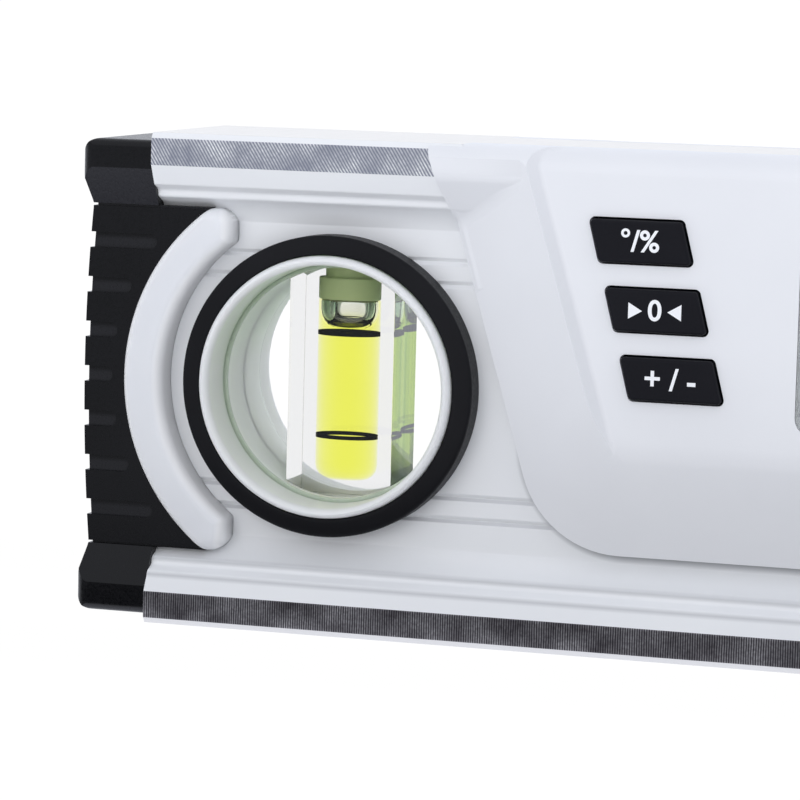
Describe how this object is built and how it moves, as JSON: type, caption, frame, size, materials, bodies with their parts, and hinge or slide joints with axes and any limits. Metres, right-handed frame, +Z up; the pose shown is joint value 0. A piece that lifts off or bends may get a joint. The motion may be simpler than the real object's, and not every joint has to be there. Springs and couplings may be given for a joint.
{
  "type": "digital inclinometer",
  "caption": "Box-beam digital level with round vial windows near its ends, rubber end boots and a central display housing with slanted press keys.",
  "frame": {"origin": "middle of the base, on the lower measuring face", "axes": "+X along the beam towards its right end seen from the front, -Y out of the front with the display, +Z up"},
  "size_m": [0.2272, 0.0296, 0.06],
  "materials": {
    "painted_beam": "satin white paint, milled edges bare",
    "boot_rubber": "satin moulded rubber",
    "black_bezel": "fine matte",
    "white_moulding": "satin",
    "holder_plastic": "satin, slightly translucent",
    "clear_acrylic": "polished",
    "vial_liquid": "clear tinted liquid",
    "frosted_plug": "frosted",
    "dark_line": "printed",
    "housing_plastic": "satin",
    "key_rubber": "satin",
    "window_lens": "polished",
    "display_glass": "glass with grey-green field",
    "carrier_plastic": "plain",
    "circuit_board": "solder mask",
    "black_component": "plain",
    "battery_can": "satin jacket",
    "bright_steel": "plated"
  },
  "bodies": {
    "chassis": {"batteries": "battery_can", "battery_contacts": "bright_steel", "beam_extrusion": "painted_beam", "buzzer": "black_component", "display_carrier": "carrier_plastic", "display_glass": "display_glass", "display_window": "window_lens", "front_housing": "housing_plastic", "housing_screws": "bright_steel", "key_switches": "black_component", "left_end_boot": "boot_rubber", "left_end_plug": "white_moulding", "left_front_bezel": "black_bezel", "left_front_vial_holder": "holder_plastic", "left_rear_bezel": "black_bezel", "left_rear_vial_holder": "holder_plastic", "left_vial_block": "clear_acrylic", "left_vial_lines": "dark_line", "left_vial_liquid": "vial_liquid", "left_vial_plug": "frosted_plug", "main_board": "circuit_board", "processor_chip": "black_component", "rear_housing": "housing_plastic", "right_end_boot": "boot_rubber", "right_end_plug": "white_moulding", "right_front_bezel": "black_bezel", "right_front_vial_holder": "holder_plastic", "right_rear_bezel": "black_bezel", "right_rear_vial_holder": "holder_plastic", "right_vial_block": "clear_acrylic", "right_vial_lines": "dark_line", "right_vial_liquid": "vial_liquid", "right_vial_plug": "frosted_plug", "tilt_sensor": "black_component"},
    "left_lower_key_cap": {"left_lower_key": "key_rubber"},
    "left_middle_key_cap": {"left_middle_key": "key_rubber"},
    "left_upper_key_cap": {"left_upper_key": "key_rubber"},
    "right_lower_key_cap": {"right_lower_key": "key_rubber"},
    "right_middle_key_cap": {"right_middle_key": "key_rubber"},
    "right_upper_key_cap": {"right_upper_key": "key_rubber"},
    "door": {"battery_door": "housing_plastic"}
  },
  "joints": [
    {"name": "left_lower_key_press", "type": "slide", "parent": "chassis", "child": "left_lower_key_cap", "axis": [0, 1, 0], "range_m": [0, 0.0006], "stiffness_N_per_m": 1500, "springref_m": -0.0004},
    {"name": "left_middle_key_press", "type": "slide", "parent": "chassis", "child": "left_middle_key_cap", "axis": [0, 1, 0], "range_m": [0, 0.0006], "stiffness_N_per_m": 1500, "springref_m": -0.0004},
    {"name": "left_upper_key_press", "type": "slide", "parent": "chassis", "child": "left_upper_key_cap", "axis": [0, 1, 0], "range_m": [0, 0.0006], "stiffness_N_per_m": 1500, "springref_m": -0.0004},
    {"name": "right_lower_key_press", "type": "slide", "parent": "chassis", "child": "right_lower_key_cap", "axis": [0, 1, 0], "range_m": [0, 0.0006], "stiffness_N_per_m": 1500, "springref_m": -0.0004},
    {"name": "right_middle_key_press", "type": "slide", "parent": "chassis", "child": "right_middle_key_cap", "axis": [0, 1, 0], "range_m": [0, 0.0006], "stiffness_N_per_m": 1500, "springref_m": -0.0004},
    {"name": "right_upper_key_press", "type": "slide", "parent": "chassis", "child": "right_upper_key_cap", "axis": [0, 1, 0], "range_m": [0, 0.0006], "stiffness_N_per_m": 1500, "springref_m": -0.0004},
    {"name": "battery_door_lift", "type": "slide", "parent": "chassis", "child": "door", "axis": [0, 1, 0], "range_m": [0, 0.02]}
  ]
}
